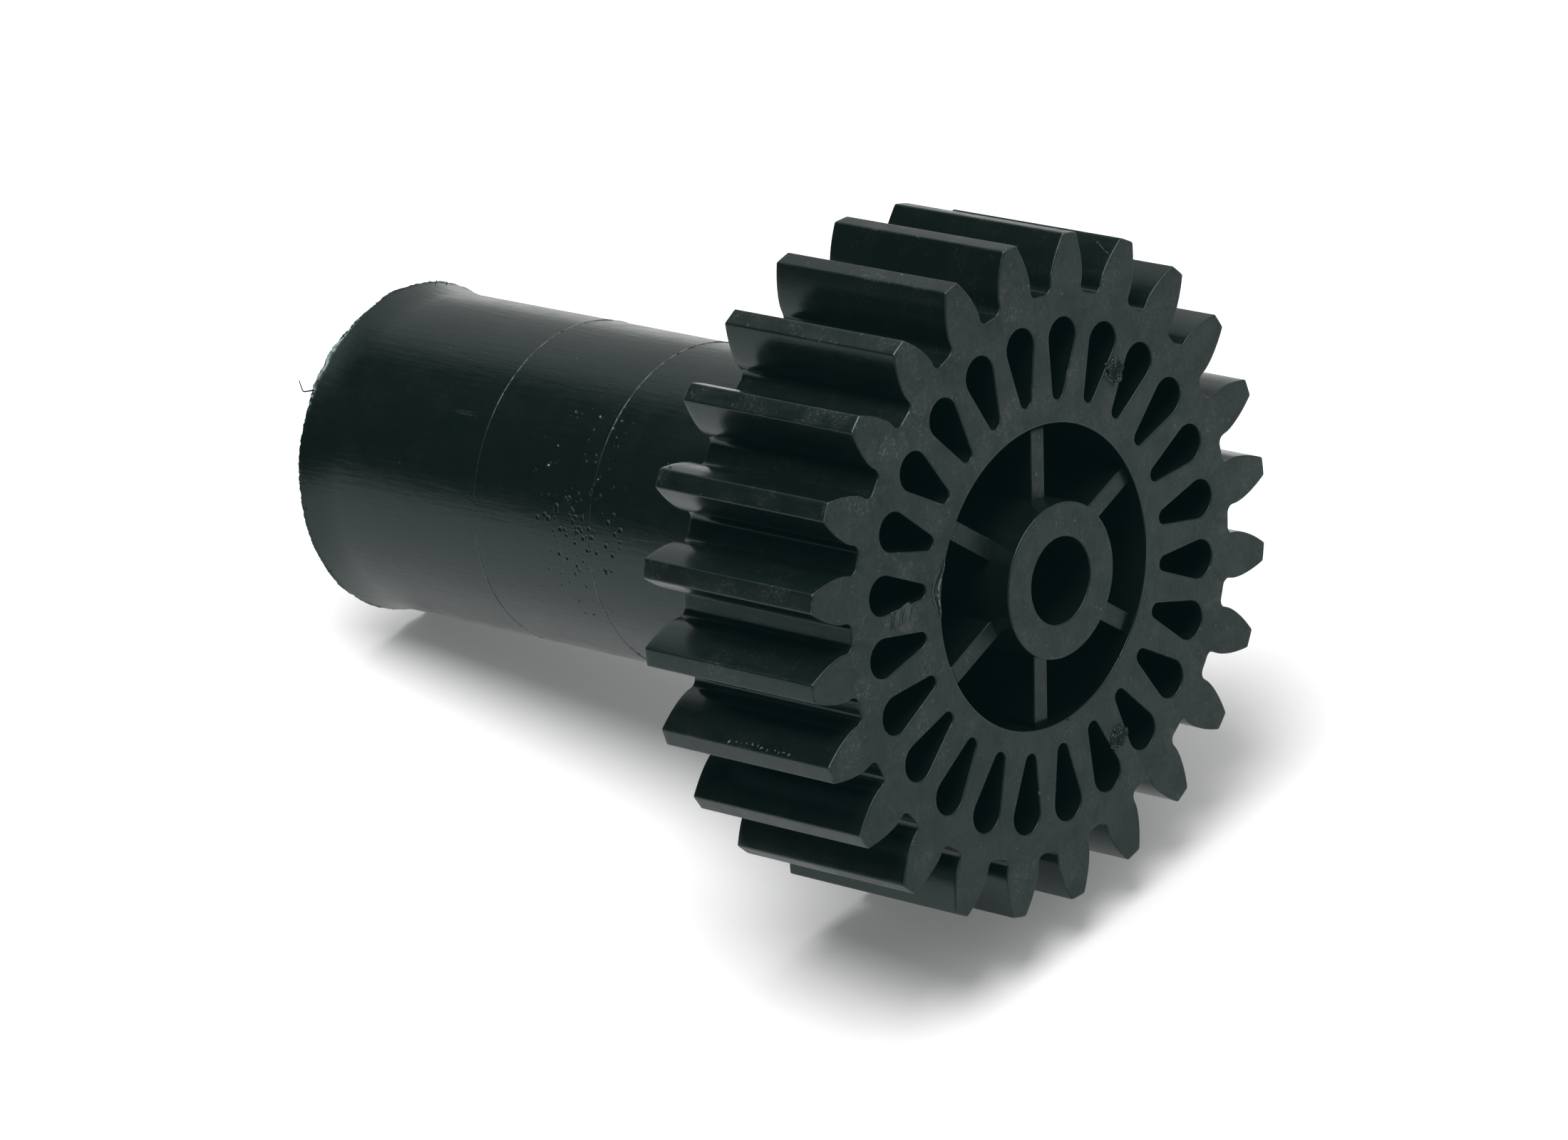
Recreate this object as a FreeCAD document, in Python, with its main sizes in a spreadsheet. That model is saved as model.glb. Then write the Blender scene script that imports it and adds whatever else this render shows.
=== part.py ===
"""A moulded plastic spur gear with a long sleeve behind it, as a FreeCAD document.

The gear's axis is Y: the toothed front faces -Y and the sleeve runs towards +Y. The origin is on the
axis, halfway along the teeth. A tooth space points straight up and another straight down, so the part
lies steady on two teeth. Lengths are in millimetres and angles in degrees.
"""

import FreeCAD, Part
import math
import os

import Sketcher
from FreeCAD import Vector

# Sketcher's numbers for the points of an edge and for its own origin and vertical axis.
START, END, CENTRE = 1, 2, 3
ORIGIN, VERTICAL_AXIS = -1, -2

# name, value, what it sets
DIMENSIONS = (
    ("gear_module", 2.5, "metric module: pitch diameter divided by the number of teeth"),
    ("tooth_count", 24, "number of teeth"),
    ("pressure_angle", 20, "pressure angle of the involute flanks"),
    ("root_fillet", 0.75, "fillet between a flank and the root circle"),
    ("face_width", 21, "length of the teeth along the axis"),
    ("pocket_depth", 15, "depth of the lightening pocket under each tooth"),
    ("pocket_inner_radius", 0.75, "rounding of a pocket's narrow end, nearest the axis"),
    ("pocket_outer_radius", 1.9, "rounding of a pocket's wide end, nearest the tooth"),
    ("pocket_start", 16.8, "distance from the axis to a pocket's narrow end"),
    ("pocket_end", 24.6, "distance from the axis to a pocket's wide end"),
    ("ring_bore", 14.6, "radius of the bore inside the toothed rim"),
    ("seat_depth", 6, "depth of the seat in the rim's rear face that takes the sleeve"),
    ("hub_radius", 7.5, "outer radius of the hub tube"),
    ("shaft_bore", 4.2, "radius of the bore that runs on the shaft"),
    ("hub_rise", 2, "how far the hub stands out of the rim's front face"),
    ("rib_count", 6, "number of ribs between the hub and the rim"),
    ("rib_thickness", 1.9, "thickness of a rib"),
    ("rib_recess", 0.7, "how far the ribs lie behind the rim's front face"),
    ("sleeve_radius", 16, "outer radius of the sleeve"),
    ("sleeve_wall", 2, "wall thickness of the sleeve"),
    ("first_seam", 43.6, "distance from the rim's front face to the first seam of the sleeve"),
    ("second_seam", 59, "distance from the rim's front face to the second seam of the sleeve"),
    ("sleeve_end", 82.8, "distance from the rim's front face to the sleeve's far end"),
    ("spigot_length", 4, "overlap of two sleeve sections inside a seam"),
    ("flare_length", 4.6, "length of the belled far end"),
    ("flare_rise", 0.6, "how much the radius grows in the belled far end"),
)

FLANK_POINTS = 9
TOOTH_ROOT_OVERLAP = 0.5

doc = FreeCAD.newDocument("sleeved_spur_gear")
sheet = doc.addObject("Spreadsheet::Sheet", "dims")
for row, (alias, value, meaning) in enumerate(DIMENSIONS, start=1):
    sheet.set(f"A{row}", meaning)
    sheet.set(f"B{row}", str(value))
    sheet.setAlias(f"B{row}", alias)
doc.recompute()

# Places along the axis, each as an expression of the sheet's cells.
RIM_FRONT = "-dims.face_width / 2"
RIM_REAR = "dims.face_width / 2"
SEAT = "dims.face_width / 2 - dims.seat_depth"
FIRST_SEAM = "dims.first_seam - dims.face_width / 2"
SECOND_SEAM = "dims.second_seam - dims.face_width / 2"
SLEEVE_END = "dims.sleeve_end - dims.face_width / 2"

# Radii, each as an expression of the sheet's cells.
ROOT = "dims.gear_module * (dims.tooth_count / 2 - 1.25)"
SLEEVE_OUTSIDE = "dims.sleeve_radius"
SLEEVE_INSIDE = "dims.sleeve_radius - dims.sleeve_wall"
SPIGOT = "dims.sleeve_radius - dims.sleeve_wall / 2"

# Turns about the axis from straight up, where a tooth space lies.
HALF_PITCH = "180 / dims.tooth_count"
WHOLE_PITCH = "360 / dims.tooth_count"


def number(expression):
    """The value of an expression of the sheet's cells, in millimetres or degrees."""
    return float(sheet.evalExpression(expression))


def new_body(label):
    body = doc.addObject("PartDesign::Body", label)
    body.Label = label
    body.Placement = FreeCAD.Placement()
    return body


def origin_feature(body, role):
    return next(feature for feature in body.Origin.OriginFeatures if feature.Role == role)


def new_sketch(body, name, plane):
    sketch = body.newObject("Sketcher::SketchObject", name)
    sketch.AttachmentSupport = (origin_feature(body, plane), "")
    sketch.MapMode = "FlatFace"
    return sketch


def cross_section(body, name, place, turn="0"):
    """A sketch across the axis, at a place along it. Its x is +X and its y is +Z before the turn."""
    sketch = new_sketch(body, name, "XZ_Plane")
    sketch.setExpression("AttachmentOffset.Base.z", f"-({place})")
    sketch.setExpression("AttachmentOffset.Rotation.Angle", turn)
    return sketch


def bind(sketch, constraint, expression):
    index = sketch.addConstraint(constraint)
    sketch.setExpression(f"Constraints[{index}]", expression)


def fix_point(sketch, edge, end, x, y):
    """Ties one end of an edge to a place given by two expressions."""
    bind(sketch, Sketcher.Constraint("DistanceX", edge, end, number(x)), x)
    bind(sketch, Sketcher.Constraint("DistanceY", edge, end, number(y)), y)


def fix_radius(sketch, edge, expression):
    bind(sketch, Sketcher.Constraint("Radius", edge, number(expression)), expression)


def centre_on_origin(sketch, edge):
    sketch.addConstraint(Sketcher.Constraint("Coincident", edge, CENTRE, ORIGIN, START))


def chain(sketch, kind, edges):
    """Joins each edge's end to the next edge's start, all the way round."""
    for edge, following in zip(edges, edges[1:] + edges[:1]):
        sketch.addConstraint(Sketcher.Constraint(kind, edge, END, following, START))


def turned(body, name, outline):
    """Revolves a closed outline of (place along the axis, radius) expressions about the axis."""
    sketch = new_sketch(body, f"{name}_outline", "YZ_Plane")
    corners = [Vector(number(along), number(radius), 0) for along, radius in outline]
    for start, end in zip(corners, corners[1:] + corners[:1]):
        sketch.addGeometry(Part.LineSegment(start, end), False)
    edges = list(range(len(outline)))
    chain(sketch, "Coincident", edges)
    for edge, (along, radius) in zip(edges, outline):
        fix_point(sketch, edge, START, along, radius)
    revolution = body.newObject("PartDesign::Revolution", name)
    revolution.Profile = sketch
    revolution.ReferenceAxis = (origin_feature(body, "Y_Axis"), [""])
    revolution.Angle = 360
    return revolution


def padded(body, name, sketch, length):
    """Pads a cross section towards the sleeve."""
    pad = body.newObject("PartDesign::Pad", name)
    pad.Profile = sketch
    pad.Reversed = True
    pad.setExpression("Length", length)
    return pad


def repeated(body, name, feature, count):
    """Repeats a feature evenly round the axis."""
    pattern = body.newObject("PartDesign::PolarPattern", name)
    pattern.Originals = [feature]
    pattern.Axis = (origin_feature(body, "Y_Axis"), [""])
    pattern.Angle = 360
    pattern.setExpression("Occurrences", count)
    body.Tip = pattern
    return pattern


def polar(radius, angle):
    """A point of the tooth's sketch: the angle is in radians, from the tooth's centre line."""
    return Vector(radius * math.sin(angle), radius * math.cos(angle), 0)


def mirrored(point):
    return Vector(-point.x, point.y, 0)


def involute(angle):
    return math.tan(angle) - angle


def draw_tooth(sketch):
    """Draws one tooth about the sketch's y axis: involute flanks, tip arc and root fillets."""
    tip_radius = number("dims.gear_module * (dims.tooth_count / 2 + 1)")
    root_radius = number(ROOT)
    fillet = number("dims.root_fillet")
    pressure = math.radians(number("dims.pressure_angle"))
    base_radius = number("dims.gear_module * dims.tooth_count / 2") * math.cos(pressure)
    base_angle = math.pi / (2 * number("dims.tooth_count")) + involute(pressure)

    flank = []
    for step in range(FLANK_POINTS):
        radius = base_radius + (tip_radius - base_radius) * step / (FLANK_POINTS - 1)
        flank.append(polar(radius, base_angle - involute(math.acos(base_radius / radius))))
    tip = flank[-1]

    centre_radius = root_radius + fillet
    foot_angle = base_angle + math.asin(fillet / centre_radius)
    fillet_centre = polar(centre_radius, foot_angle)
    fillet_foot = polar(root_radius, foot_angle)
    fillet_top = polar(math.sqrt(centre_radius**2 - fillet**2), base_angle)
    bisector = (fillet_foot - fillet_centre) + (fillet_top - fillet_centre)
    fillet_middle = fillet_centre + bisector.normalize() * fillet
    foot = polar(root_radius - TOOTH_ROOT_OVERLAP, foot_angle)

    for side in (lambda point: point, mirrored):
        curve = Part.BSplineCurve()
        curve.interpolate([side(point) for point in flank])
        sketch.addGeometry(Part.LineSegment(side(foot), side(fillet_foot)), False)
        sketch.addGeometry(Part.Arc(side(fillet_foot), side(fillet_middle), side(fillet_top)), False)
        sketch.addGeometry(Part.LineSegment(side(fillet_top), side(flank[0])), False)
        sketch.addGeometry(curve, False)
    sketch.addGeometry(Part.Arc(tip, Vector(0, tip_radius, 0), mirrored(tip)), False)
    sketch.addGeometry(Part.LineSegment(mirrored(foot), foot), False)
    for edge in range(len(sketch.Geometry)):
        sketch.addConstraint(Sketcher.Constraint("Block", edge))


def draw_pocket(sketch):
    """Draws a pocket about the sketch's y axis: two round ends joined by tangent lines."""
    low = "dims.pocket_start + dims.pocket_inner_radius"
    high = "dims.pocket_end - dims.pocket_outer_radius"
    narrow, wide = "dims.pocket_inner_radius", "dims.pocket_outer_radius"
    lean = math.asin(number(f"({wide} - {narrow}) / ({high} - ({low}))"))
    upwards = Vector(0, 0, 1)
    low_circle = Part.Circle(Vector(0, number(low), 0), upwards, number(narrow))
    high_circle = Part.Circle(Vector(0, number(high), 0), upwards, number(wide))
    low_arc = Part.ArcOfCircle(low_circle, math.pi + lean, 2 * math.pi - lean)
    high_arc = Part.ArcOfCircle(high_circle, -lean, math.pi + lean)
    sketch.addGeometry(low_arc, False)
    sketch.addGeometry(Part.LineSegment(low_arc.EndPoint, high_arc.StartPoint), False)
    sketch.addGeometry(high_arc, False)
    sketch.addGeometry(Part.LineSegment(high_arc.EndPoint, low_arc.StartPoint), False)
    chain(sketch, "Tangent", [0, 1, 2, 3])
    for edge, height, radius in ((0, low, narrow), (2, high, wide)):
        sketch.addConstraint(Sketcher.Constraint("PointOnObject", edge, CENTRE, VERTICAL_AXIS))
        bind(sketch, Sketcher.Constraint("DistanceY", edge, CENTRE, number(height)), height)
        fix_radius(sketch, edge, radius)


def draw_rib(sketch):
    """Draws a rib along the sketch's x axis, from inside the hub's wall to the rim's bore."""
    inner = "(dims.hub_radius + dims.shaft_bore) / 2"
    half = "dims.rib_thickness / 2"
    lift = number(half)
    reach = math.sqrt(number("dims.ring_bore") ** 2 - lift**2)
    sides = {1: Vector(number(inner), lift, 0), -1: Vector(number(inner), -lift, 0)}
    ends = {1: Vector(reach, lift, 0), -1: Vector(reach, -lift, 0)}
    sketch.addGeometry(Part.LineSegment(sides[-1], ends[-1]), False)
    sketch.addGeometry(Part.Arc(ends[-1], Vector(number("dims.ring_bore"), 0, 0), ends[1]), False)
    sketch.addGeometry(Part.LineSegment(ends[1], sides[1]), False)
    sketch.addGeometry(Part.LineSegment(sides[1], sides[-1]), False)
    chain(sketch, "Coincident", [0, 1, 2, 3])
    centre_on_origin(sketch, 1)
    fix_radius(sketch, 1, "dims.ring_bore")
    sketch.addConstraint(Sketcher.Constraint("Horizontal", 0))
    sketch.addConstraint(Sketcher.Constraint("Horizontal", 2))
    fix_point(sketch, 0, START, inner, f"-{half}")
    fix_point(sketch, 2, END, inner, half)


def draw_hub(sketch):
    """Draws the hub tube's two circles."""
    for edge, radius in enumerate(("dims.hub_radius", "dims.shaft_bore")):
        sketch.addGeometry(Part.Circle(Vector(), Vector(0, 0, 1), number(radius)), False)
        centre_on_origin(sketch, edge)
        fix_radius(sketch, edge, radius)


def toothed_rim():
    """The ring that carries the teeth, with a blind pocket under each and a seat for the sleeve."""
    body = new_body("toothed_rim")
    blank = turned(
        body,
        "rim_blank",
        (
            (RIM_FRONT, "dims.ring_bore"),
            (RIM_FRONT, ROOT),
            (RIM_REAR, ROOT),
            (RIM_REAR, SLEEVE_OUTSIDE),
            (SEAT, SLEEVE_OUTSIDE),
            (SEAT, "dims.ring_bore"),
        ),
    )
    tooth_sketch = cross_section(body, "tooth_outline", RIM_FRONT, HALF_PITCH)
    draw_tooth(tooth_sketch)
    tooth = padded(body, "tooth", tooth_sketch, "dims.face_width")
    teeth = repeated(body, "teeth", tooth, "dims.tooth_count")

    pocket_sketch = cross_section(body, "pocket_outline", RIM_FRONT, HALF_PITCH)
    draw_pocket(pocket_sketch)
    pocket = body.newObject("PartDesign::Pocket", "pocket")
    pocket.Profile = pocket_sketch
    pocket.setExpression("Length", "dims.pocket_depth")
    pockets = repeated(body, "pockets", pocket, "dims.tooth_count")
    return body, (blank, teeth, pockets)


def hub_spider():
    """The hub tube, proud of the rim's face, and the ribs that carry it inside the rim's bore."""
    body = new_body("hub_spider")
    hub_sketch = cross_section(body, "hub_outline", f"{RIM_FRONT} - dims.hub_rise")
    draw_hub(hub_sketch)
    hub = padded(body, "hub_tube", hub_sketch, "dims.face_width + dims.hub_rise")

    rib_sketch = cross_section(body, "rib_outline", f"{RIM_FRONT} + dims.rib_recess", WHOLE_PITCH)
    draw_rib(rib_sketch)
    rib = padded(body, "rib", rib_sketch, "dims.face_width - dims.seat_depth - dims.rib_recess")
    ribs = repeated(body, "ribs", rib, "dims.rib_count")
    return body, (hub, ribs)


def sleeve_section(label, front, rear, socket, spigot, flared):
    """One length of the sleeve: a socket or plain end in front, then a spigot, plain or belled end."""
    body = new_body(label)
    outline = [(front, SLEEVE_OUTSIDE)]
    if flared:
        outline.append((f"{rear} - dims.flare_length", SLEEVE_OUTSIDE))
        outline.append((f"{rear} - dims.flare_length / 3", f"{SLEEVE_OUTSIDE} + dims.flare_rise / 2"))
        outline.append((rear, f"{SLEEVE_OUTSIDE} + dims.flare_rise"))
    else:
        outline.append((rear, SLEEVE_OUTSIDE))
    if spigot:
        outline.append((rear, SPIGOT))
        outline.append((f"{rear} + dims.spigot_length", SPIGOT))
        outline.append((f"{rear} + dims.spigot_length", SLEEVE_INSIDE))
    else:
        outline.append((rear, SLEEVE_INSIDE))
    if socket:
        outline.append((f"{front} + dims.spigot_length", SLEEVE_INSIDE))
        outline.append((f"{front} + dims.spigot_length", SPIGOT))
        outline.append((front, SPIGOT))
    else:
        outline.append((front, SLEEVE_INSIDE))
    return body, (turned(body, f"{label}_wall", outline),)


def checked(body, features):
    """Stops unless each feature of a body changed its volume and the body is one valid solid."""
    volumes = [feature.Shape.Volume for feature in features]
    for before, after in zip(volumes, volumes[1:]):
        if math.isclose(before, after, rel_tol=1e-6):
            raise RuntimeError(f"{body.Label}: a feature changed nothing")
    shape = body.Shape
    if shape.isNull() or not shape.isValid() or len(shape.Solids) != 1:
        raise RuntimeError(f"{body.Label}: not one valid solid")
    print(body.Label, "volume", round(shape.Volume, 1), "box", shape.BoundBox)


parts = [
    toothed_rim(),
    hub_spider(),
    sleeve_section("sleeve_front_section", SEAT, FIRST_SEAM, socket=False, spigot=True, flared=False),
    sleeve_section("sleeve_middle_section", FIRST_SEAM, SECOND_SEAM, socket=True, spigot=True, flared=False),
    sleeve_section("sleeve_rear_section", SECOND_SEAM, SLEEVE_END, socket=True, spigot=False, flared=True),
]
doc.recompute()

failed = [item.Label for item in doc.Objects if {"Invalid", "Error"} & set(item.State)]
if failed:
    raise RuntimeError(f"these objects failed: {failed}")
for body, features in parts:
    checked(body, features)

os.makedirs("parts", exist_ok=True)
for body, _ in parts:
    body.Shape.exportStep(os.path.join("parts", f"{body.Label}.step"))
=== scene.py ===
import math

import bmesh
import bpy
import numpy as np
from mathutils import Matrix, Vector
from mathutils.geometry import delaunay_2d_cdt


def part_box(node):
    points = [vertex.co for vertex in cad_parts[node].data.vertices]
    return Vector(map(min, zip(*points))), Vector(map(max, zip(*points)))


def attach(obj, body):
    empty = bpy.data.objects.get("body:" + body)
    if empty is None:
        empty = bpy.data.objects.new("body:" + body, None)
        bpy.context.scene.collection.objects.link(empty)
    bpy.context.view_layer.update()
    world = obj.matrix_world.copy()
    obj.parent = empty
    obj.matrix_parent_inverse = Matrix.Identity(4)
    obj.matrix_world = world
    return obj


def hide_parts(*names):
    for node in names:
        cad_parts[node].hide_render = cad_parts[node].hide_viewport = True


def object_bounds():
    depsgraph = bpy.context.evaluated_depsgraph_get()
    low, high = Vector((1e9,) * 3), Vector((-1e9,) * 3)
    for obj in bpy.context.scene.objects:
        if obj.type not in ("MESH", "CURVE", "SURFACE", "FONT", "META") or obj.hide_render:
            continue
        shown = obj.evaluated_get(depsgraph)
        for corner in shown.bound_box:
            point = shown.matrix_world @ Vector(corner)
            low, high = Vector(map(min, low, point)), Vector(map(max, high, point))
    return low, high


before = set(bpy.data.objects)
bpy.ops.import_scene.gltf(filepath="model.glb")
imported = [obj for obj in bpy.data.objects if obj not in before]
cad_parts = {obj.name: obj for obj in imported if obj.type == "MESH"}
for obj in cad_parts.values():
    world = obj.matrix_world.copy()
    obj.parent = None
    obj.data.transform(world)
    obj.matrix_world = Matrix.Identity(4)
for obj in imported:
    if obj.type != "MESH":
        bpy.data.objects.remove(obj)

# The looks of a moulded plastic spur gear with a long sleeve. Lengths are in millimetres until a mesh is
# made, and angles about the axis are in degrees from +X towards +Z, as seen from the toothed front.
MM = 0.001
CAD_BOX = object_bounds()

# Driving sizes, the same as the CAD model's. Places along the axis come from the frame.
GEAR_MODULE = 2.5
TEETH = 24
PRESSURE_ANGLE = math.radians(20)
ADDENDUM, DEDENDUM = GEAR_MODULE, 1.25 * GEAR_MODULE
ROOT_FILLET = 0.75
POCKET_NARROW, POCKET_WIDE = 0.75, 1.9
POCKET_START, POCKET_END = 16.8, 24.6
POCKET_DEPTH = 15.0
RING_BORE = 14.6
HUB_RADIUS, SHAFT_BORE = 7.5, 4.2
RIBS, RIB_THICKNESS, RIB_RECESS = 6, 1.9, 0.7
SLEEVE_RADIUS, SLEEVE_WALL = 16.0, 2.0
SPIGOT_LENGTH = 4.0
FLARE_LENGTH, FLARE_RISE = 4.6, 0.6

# What only the visual model has: rounded edges, and how finely curves are divided.
EDGE_ROUND = 0.14
TIP_ROUND = 0.25
CURVE_STEPS = 4
INVOLUTE_STEPS = 12
BORE_STEPS, HUB_STEPS, SLEEVE_STEPS = 240, 160, 720
RIB_STEPS = 12
POCKET_WIDE_STEPS, POCKET_NARROW_STEPS = 18, 9
POCKET_WALL_SHARES = (0.25, 0.5, 0.75)

# Points that lie closer together than this are one point.
MERGE_DISTANCE = 0.0004

# How much more a large face counts than a small one where their shading meets, out of 100.
FLAT_WEIGHT = 80


def span(node):
    """A node's lowest and highest place along the axis, in millimetres."""
    low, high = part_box(node)
    return low[1] / MM, high[1] / MM


RIM_FRONT, RIM_REAR = span("toothed_rim")
HUB_FRONT, HUB_REAR = span("hub_spider")
SEAT = span("sleeve_front_section")[0]
FIRST_SEAM = span("sleeve_middle_section")[0]
SECOND_SEAM, SLEEVE_END = span("sleeve_rear_section")

PITCH = 360 / TEETH
PITCH_RADIUS = GEAR_MODULE * TEETH / 2
TIP_RADIUS = PITCH_RADIUS + ADDENDUM
ROOT_RADIUS = PITCH_RADIUS - DEDENDUM


# ---------------------------------------------------------------- outlines across the axis


def around(radius, angles):
    """Points on a circle: x and z, from angles in radians."""
    angles = np.asarray(angles)
    return np.stack([radius * np.cos(angles), radius * np.sin(angles)], axis=-1)


def turned(points, degrees):
    """Points turned about the axis."""
    angle = math.radians(degrees)
    turn = np.array([[math.cos(angle), -math.sin(angle)], [math.sin(angle), math.cos(angle)]])
    return np.asarray(points) @ turn.T


def rounded_corner(before, corner, after, radius):
    """Points of an arc that rounds a corner between two straight runs."""
    to_before = (before - corner) / np.linalg.norm(before - corner)
    to_after = (after - corner) / np.linalg.norm(after - corner)
    half = math.acos(np.clip(to_before @ to_after, -1, 1)) / 2
    bisector = (to_before + to_after) / np.linalg.norm(to_before + to_after)
    centre = corner + bisector * radius / math.sin(half)
    first = corner + to_before * radius / math.tan(half) - centre
    last = corner + to_after * radius / math.tan(half) - centre
    arc = []
    for step in np.linspace(0, 1, CURVE_STEPS + 1):
        spoke = first * (1 - step) + last * step
        arc.append(centre + spoke / np.linalg.norm(spoke) * radius)
    return arc


def tooth_pitch():
    """One pitch of the gear's outline about the +Z direction, from tooth space to tooth space."""

    def polar(radius, angle):
        return np.array([radius * math.sin(angle), radius * math.cos(angle)])

    def involute(angle):
        return math.tan(angle) - angle

    base_radius = PITCH_RADIUS * math.cos(PRESSURE_ANGLE)
    base_angle = math.pi / (2 * TEETH) + involute(PRESSURE_ANGLE)
    centre_radius = ROOT_RADIUS + ROOT_FILLET
    foot_angle = base_angle + math.asin(ROOT_FILLET / centre_radius)
    half_pitch = math.pi / TEETH

    side = [polar(ROOT_RADIUS, angle) for angle in np.linspace(half_pitch, foot_angle, 4)[:-1]]
    centre = polar(centre_radius, foot_angle)
    foot = polar(ROOT_RADIUS, foot_angle) - centre
    top = polar(math.sqrt(centre_radius**2 - ROOT_FILLET**2), base_angle) - centre
    for step in np.linspace(0, 1, 2 * CURVE_STEPS):
        spoke = foot * (1 - step) + top * step
        side.append(centre + spoke / np.linalg.norm(spoke) * ROOT_FILLET)
    for radius in np.linspace(base_radius, TIP_RADIUS - 1.5 * TIP_ROUND, INVOLUTE_STEPS):
        side.append(polar(radius, base_angle - involute(math.acos(base_radius / radius))))
    tip_angle = base_angle - involute(math.acos(base_radius / TIP_RADIUS))
    corner = polar(TIP_RADIUS, tip_angle)
    side += rounded_corner(side[-1], corner, polar(TIP_RADIUS, 0), TIP_ROUND)
    side += [polar(TIP_RADIUS, angle) for angle in np.linspace(tip_angle * 0.6, 0, 3)]
    mirrored = [point * (-1, 1) for point in side[-2::-1]]
    return np.array(side + mirrored[:-1])


def gear_outline():
    """The whole outline of the teeth, round the axis."""
    pitch = tooth_pitch()
    return np.concatenate([turned(pitch, PITCH * (tooth + 0.5)) for tooth in range(TEETH)])


def pocket_outline(tooth):
    """The outline of the pocket under one tooth: two round ends and the lines that touch both."""
    low, high = POCKET_START + POCKET_NARROW, POCKET_END - POCKET_WIDE
    lean = math.asin((POCKET_WIDE - POCKET_NARROW) / (high - low))
    over, under = (-lean, math.pi + lean), (math.pi + lean, 2 * math.pi - lean)
    wide = around(POCKET_WIDE, np.linspace(*over, POCKET_WIDE_STEPS)) + (0, high)
    narrow = around(POCKET_NARROW, np.linspace(*under, POCKET_NARROW_STEPS)) + (0, low)
    left = [wide[-1] * (1 - share) + narrow[0] * share for share in POCKET_WALL_SHARES]
    right = [narrow[-1] * (1 - share) + wide[0] * share for share in POCKET_WALL_SHARES]
    return turned(np.concatenate([wide, left, narrow, right]), PITCH * (tooth + 0.5))


def circle(radius, count):
    """Points spread evenly round a circle about the axis."""
    return around(radius, np.linspace(0, 2 * math.pi, count, endpoint=False))


def inset(outline, distance):
    """Moves a closed outline inwards, or outwards where the distance is negative."""
    ahead = np.roll(outline, -1, axis=0) - outline
    ahead /= np.linalg.norm(ahead, axis=1, keepdims=True)
    behind = np.roll(ahead, 1, axis=0)
    along = ahead + behind
    along /= np.linalg.norm(along, axis=1, keepdims=True)
    normal = np.stack([-along[:, 1], along[:, 0]], axis=-1)
    signed = outline[:, 0] * np.roll(outline[:, 1], -1) - outline[:, 1] * np.roll(outline[:, 0], -1)
    spread = np.sqrt((1 + np.sum(ahead * behind, axis=1)) / 2)
    return outline + normal * (np.sign(signed.sum()) * distance / spread)[:, None]


# ---------------------------------------------------------------- surfaces


class Surface:
    """Points, faces, each face's material number and each point's paleness for wear and painted glint,
    gathered into one mesh.
    """

    def __init__(self):
        self.points = []
        self.faces = []
        self.materials = []
        self.wear_and_glint = []

    def add(self, points, faces, material=0, wear_and_glint=0.0):
        """Adds points, and faces that name them by their numbers."""
        start = len(self.points)
        self.points.extend(map(tuple, points))
        self.faces.extend([tuple(start + index for index in face) for face in faces])
        self.materials.extend(np.broadcast_to(material, len(faces)).tolist())
        self.wear_and_glint.extend(np.broadcast_to(wear_and_glint, len(points)))

    def loft(self, rings, material=0, wear_and_glint=0.0, closed=False):
        """Joins rings of points, each a closed loop, by quads. closed joins the last ring to the first.

        material is one number or one for each point of a ring. The paleness for wear and painted glint is one
        value, or one for each point.
        """
        rings = np.asarray(rings)
        count = rings.shape[1]
        faces = []
        for ring in range(len(rings) if closed else len(rings) - 1):
            here, there = ring * count, (ring + 1) % len(rings) * count
            for point in range(count):
                after = (point + 1) % count
                faces.append((here + point, here + after, there + after, there + point))
        materials = np.resize(np.broadcast_to(material, count), len(faces))
        self.add(rings.reshape(-1, 3), faces, materials, np.broadcast_to(wear_and_glint, rings.shape[:2]).ravel())

    def cap(self, ring, material=0):
        """Closes a ring of points with one face."""
        self.add(ring, [tuple(range(len(ring)))], material)

    def piece(self, name, node, slot, materials):
        """Makes the object, which rides on the root body and may stand for one CAD node."""
        mesh = bpy.data.meshes.new(name)
        mesh.from_pydata([(x * MM, y * MM, z * MM) for x, y, z in self.points], [], self.faces)
        mesh.polygons.foreach_set("material_index", self.materials)
        # Each point's paleness: wear, and a painted glint on edges and seams.
        attribute = mesh.attributes.new("wear_and_glint", "FLOAT", "POINT")
        attribute.data.foreach_set("value", np.array(self.wear_and_glint, dtype=np.float32))
        work = bmesh.new()
        work.from_mesh(mesh)
        bmesh.ops.remove_doubles(work, verts=work.verts, dist=MERGE_DISTANCE * MM)
        bmesh.ops.recalc_face_normals(work, faces=work.faces)
        for face in work.faces:
            face.smooth = True
        work.to_mesh(mesh)
        work.free()
        for material in materials:
            mesh.materials.append(material)
        piece = bpy.data.objects.new(name, mesh)
        bpy.context.scene.collection.objects.link(piece)
        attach(piece, "root")
        if node:
            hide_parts(node)
        return piece


def flat_normals(piece):
    """Keeps the large faces' shading flat, with the turn in direction on the rounded edges only."""
    modifier = piece.modifiers.new("flat_faces", "WEIGHTED_NORMAL")
    modifier.mode = "FACE_AREA_WITH_ANGLE"
    modifier.weight = FLAT_WEIGHT


def across(outline, place):
    """An outline set at a place along the axis, as points in space."""
    outline = np.asarray(outline)
    return np.stack([outline[:, 0], np.full(len(outline), place), outline[:, 1]], axis=-1)


def front_edge(front):
    """A rounded front edge, from the end face to the side: inset from the side and place of each row."""
    return [(EDGE_ROUND * (1 - math.sin(angle)), front + EDGE_ROUND * (1 - math.cos(angle)))
            for angle in np.linspace(0, math.pi / 2, CURVE_STEPS + 1)]


def rear_edge(rear):
    """A rounded rear edge, from the side to the end face."""
    return [(side, rear - place) for side, place in front_edge(0)[::-1]]


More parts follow.
